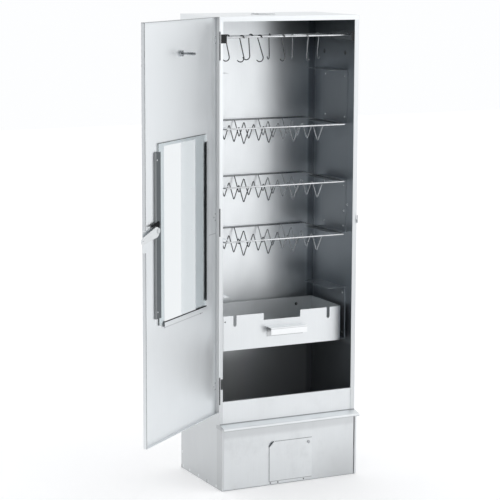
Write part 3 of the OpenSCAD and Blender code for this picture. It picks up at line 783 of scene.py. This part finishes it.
def door_fasteners():
    heads = []
    tails = []
    for level in HINGE_LEVELS:
        for rise in (-8.0, 0.0, 8.0):
            heads.append(((DOOR_LEFT + 14.0, DOOR_OUT - HINGE_PLATE, level + rise), (0, -1, 0)))
            tail = DOOR_LEFT + (6.5 if rise else 14.0)
            tails.append(((tail, DOOR_SKIN, level + rise), (0, 1, 0)))
    fasteners("strap_rivets", SMALL_RIVET, heads, ZINC, "door", DOOR_SWING)
    fasteners("strap_rivet_tails", SMALL_RIVET, tails, STEM, "door", DOOR_SWING)
    channel = [((130.0, COVER_TOP, rise), (0, 1, 0)) for rise in CHANNEL_RIVETS]
    channel += [((-136.5, COVER_TOP, rise), (0, 1, 0)) for rise in CHANNEL_RIVETS]
    fasteners("channel_rivets", SMALL_RIVET, channel, ZINC, "door", DOOR_SWING)
    foot = [((across, DOOR_SKIN, 477.0), (0, 1, 0)) for across in (-105.0, 86.0)]
    fasteners("strip_rivets", SMALL_RIVET, foot, STEM, "door", DOOR_SWING)


def dial_face():
    """White face with ticks and numbers from 0 to 120 behind the lens, and the bezel round it."""
    sweep, ticks, numbers = 270.0, 24, 6
    start = sweep / 2
    place = Matrix.Translation((0, DOOR_OUT - 6.0, DIAL_Z)) @ Matrix.Rotation(math.radians(90), 4, "X")
    shape = bmesh.new()
    lathe(shape, [(1.8, 0), (1.8, 0.3), (27.2, 0.3), (27.2, 0)], 64, place)
    finish_piece("dial_face", shape, DIAL_WHITE, "door", DOOR_SWING)
    marks = bmesh.new()
    for step in range(ticks + 1):
        turn = Matrix.Rotation(math.radians(start - step * sweep / ticks), 4, "Z")
        long = step % (ticks // numbers) == 0
        half, inner = (0.45, 21.5) if long else (0.22, 23.5)
        outline = [(-half, inner), (half, inner), (half, 26.0), (-half, 26.0)]
        plate(marks, outline, 0.3, 0.38, place @ turn)
    finish_piece("dial_ticks", marks, DIAL_BLACK, "door", DOOR_SWING, smooth=False)
    digits = bmesh.new()
    for step in range(numbers + 1):
        text = bpy.data.curves.new("digits", "FONT")
        text.body = str(step * 20)
        text.size = 6.2
        text.align_x = text.align_y = "CENTER"
        text.extrude = 0.04
        holder = bpy.data.objects.new("digits", text)
        printed = holder.to_mesh()
        angle = math.radians(90 + start - step * sweep / numbers)
        spot = Matrix.Translation((16.8 * math.cos(angle), 16.8 * math.sin(angle), 0.36))
        printed.transform(place @ spot)
        digits.from_mesh(printed)
        holder.to_mesh_clear()
        bpy.data.objects.remove(holder)
        bpy.data.curves.remove(text)
    finish_piece("dial_digits", digits, DIAL_BLACK, "door", DOOR_SWING, smooth=False)
    bezel = bmesh.new()
    rim = [(28.4, 7.6), (28.8, 8.5), (30.0, 8.7), (31.0, 8.3), (31.5, 7.4), (31.5, -5.0), (31.0, -5.6)]
    lathe(bezel, rim, 64, place)
    finish_piece("dial_bezel", bezel, ZINC, "door", DOOR_SWING)


def flap_grip():
    """The bent-out corner by which the air flap is pulled."""
    shape = bmesh.new()
    outer = DRAWER_Y - 1.1
    turns = [math.radians(a) for a in range(100, 171, 7)]
    foot = (15.5, 0.05)
    lip = ((17.5, 0.8), (19.4, 3.2), (20.4, 5.5), (20.9, 5.2), (19.9, 2.8))
    rows = []
    for k, a in enumerate(turns):
        swell = math.sin(math.pi * k / (len(turns) - 1))
        row = []
        for radius, out in [foot] + [(r, height * swell) for r, height in lip]:
            across = FLAP_ROUND_X + radius * math.cos(a)
            level = FLAP_ROUND_Z + radius * math.sin(a)
            row.append(shape.verts.new((across, outer - out, level)))
        rows.append(row)
    for low, high in zip(rows, rows[1:]):
        for k in range(len(low) - 1):
            shape.faces.new((low[k], low[k + 1], high[k + 1], high[k]))
    finish_piece("flap_grip", shape, SHEET_PALE, "flap")


def bar(shape, x, y, z):
    """Adds a bar to a bmesh between two places on each axis, in millimetres."""
    plate(shape, [(x[0], y[0]), (x[1], y[0]), (x[1], y[1]), (x[0], y[1])], z[0], z[1])


def window_dark_strips():
    """Dark strips in the mouths of the glass channels, which stand for the shade there, and the dark
    ground edge of the glass.
    """
    over = GLASS_TOP_Y + 0.05
    shape = bmesh.new()
    bar(shape, (-130.4, -125.0), (over, over + 0.6), (CHANNEL_LOW, CHANNEL_HIGH))
    bar(shape, (-131.0, 94.0), (over, over + 0.6), (GLASS_LOW - 0.1, GLASS_LOW + 2.2))
    finish_piece("window_dark_strips", shape, DARK_STRIP, "door", DOOR_SWING, smooth=False)
    edge = bmesh.new()
    bar(edge, (-132.0, 120.0), (GLASS_TOP_Y - 3.0, GLASS_TOP_Y), (GLASS_HIGH, GLASS_HIGH + 0.5))
    finish_piece("glass_edge", edge, DARK_STRIP, "window_glass", DOOR_SWING, smooth=False)


def drawer_dots():
    foot = [((across, DRAWER_Y, 5.4), (0, -1, 0)) for across in (-57.0, -35.0, 39.5)]
    fasteners("drawer_dots", SMALL_RIVET, foot, DARK_DOT, "drawer")


def tray_rivets():
    front = [((-160.5, TRAY_FRONT, 426.8), (0, -1, 0))]
    fasteners("tray_rivets", SMALL_RIVET, front, DARK_DOT, "tray")


def stem_sleeve():
    """The thicker outer part of the dial's stem."""
    shape = bmesh.new()
    profile = [(2.5, 0.0), (3.3, 0.3), (3.5, 0.9), (3.5, 21.0), (3.0, 22.2), (0.0, 22.5)]
    lathe(shape, profile, 24, Matrix.Translation((0, DOOR_OUT + 18.0, DIAL_Z)) @ facing((0, 1, 0)))
    finish_piece("stem_sleeve", shape, STEM, "door", DOOR_SWING)


cabinet_fasteners()
door_fasteners()
tray_rivets()
stem_sleeve()
window_dark_strips()
drawer_dots()
dial_face()
flap_grip()


# Studio


def studio_world():
    world = bpy.data.worlds.new("studio")
    bpy.context.scene.world = world
    world.use_nodes = True
    background = world.node_tree.nodes["Background"]
    background.inputs["Color"].default_value = (0.985, 0.992, 1.0, 1)
    background.inputs["Strength"].default_value = 1.0


def stage_plane(name, corners, material):
    mesh = bpy.data.meshes.new(name)
    mesh.from_pydata(corners, [], [(0, 1, 2, 3)])
    mesh.materials.append(material)
    item = bpy.data.objects.new(name, mesh)
    bpy.context.scene.collection.objects.link(item)
    return item


def studio_floor():
    """Pale paper that runs out into the white of the room.

    It glows a little for the camera and in mirrors, and less through glass.
    """
    g = Graph("floor_paper")
    fibre = g.ramp(g.noise(g.place(), 40.0, 3.0), 0.3, 0.7, 0.0, 1.0)
    paper = g.mix(fibre, (0.84, 0.84, 0.845), (0.86, 0.86, 0.865))
    g.link(paper, g.shader.inputs["Base Color"])
    path = g.add("ShaderNodeLightPath")
    seen = g.math("MAXIMUM", path.outputs["Is Camera Ray"], path.outputs["Is Glossy Ray"])
    seen = g.math("MAXIMUM", seen, path.outputs["Is Transmission Ray"])
    through = g.math("MULTIPLY", path.outputs["Is Transmission Ray"], GLASS_DIM)
    glow = g.math("SUBTRACT", g.math("MULTIPLY", seen, FLOOR_GLOW), through)
    g.link(glow, g.shader.inputs["Emission Strength"])
    set_shader(g, roughness=0.9, emission_color=(1, 1, 1, 1))
    turns = ((-1, -1), (1, -1), (1, 1), (-1, 1))
    corners = [(x * FLOOR_HALF, y * FLOOR_HALF, FLOOR_Z) for x, y in turns]
    stage_plane("floor", corners, g.material)


def studio_flag():
    """A dark cloth beside the camera, which only the metal mirrors."""
    g = Graph("flag_cloth")
    weave = g.ramp(g.noise(g.place(), 300.0, 2.0), 0.3, 0.7, 0.0, 1.0)
    cloth = g.mix(weave, (0.035, 0.043, 0.052), (0.045, 0.054, 0.064))
    g.link(cloth, g.shader.inputs["Base Color"])
    set_shader(g, roughness=0.9)
    away = Vector((-0.5, -0.866, 0)) * 1.9
    along = Vector((0.866, -0.5, 0)) * 1.15
    over = Vector((0, 0, 3.2))
    corners = [away - 1.4 * along, away + along, away + along + over, away - 1.4 * along + over]
    flag = stage_plane("flag", corners, g.material)
    flag.visible_camera = False
    flag.visible_diffuse = False
    flag.visible_transmission = False
    flag.visible_shadow = False


def area_light(name, place, target, size, power):
    data = bpy.data.lights.new(name, "AREA")
    data.shape = "RECTANGLE"
    data.size, data.size_y = size
    data.energy = power
    lamp = bpy.data.objects.new(name, data)
    lamp.location = place
    lamp.rotation_euler = (Vector(target) - Vector(place)).to_track_quat("-Z", "Y").to_euler()
    bpy.context.scene.collection.objects.link(lamp)


def photo_camera():
    """The photograph's view: a long lens from the left and a little above the top of the cabinet."""
    yaw, pitch, roll = (math.radians(a) for a in CAMERA_TURN)
    ahead = Vector((math.sin(yaw) * math.cos(pitch), math.cos(yaw) * math.cos(pitch), math.sin(pitch)))
    level = Vector((math.cos(yaw), -math.sin(yaw), 0))
    over = level.cross(ahead)
    right = math.cos(roll) * level + math.sin(roll) * over
    up = -math.sin(roll) * level + math.cos(roll) * over
    data = bpy.data.cameras.new("photo_camera")
    data.sensor_width = SENSOR
    data.lens = FOCAL_PIXELS / FRAME_PIXELS * SENSOR
    data.clip_end = 50.0
    camera = bpy.data.objects.new("photo_camera", data)
    turn = Matrix((right, up, -ahead)).transposed().to_4x4()
    camera.matrix_world = Matrix.Translation(CAMERA_PLACE * MM) @ turn
    bpy.context.scene.collection.objects.link(camera)
    bpy.context.scene.camera = camera


studio_world()
studio_floor()
studio_flag()
area_light("key", KEY_PLACE, KEY_TARGET, KEY_SIZE, KEY_WATTS)
photo_camera()
nodes["glass"].visible_shadow = False
bpy.context.scene.view_settings.view_transform = "Standard"
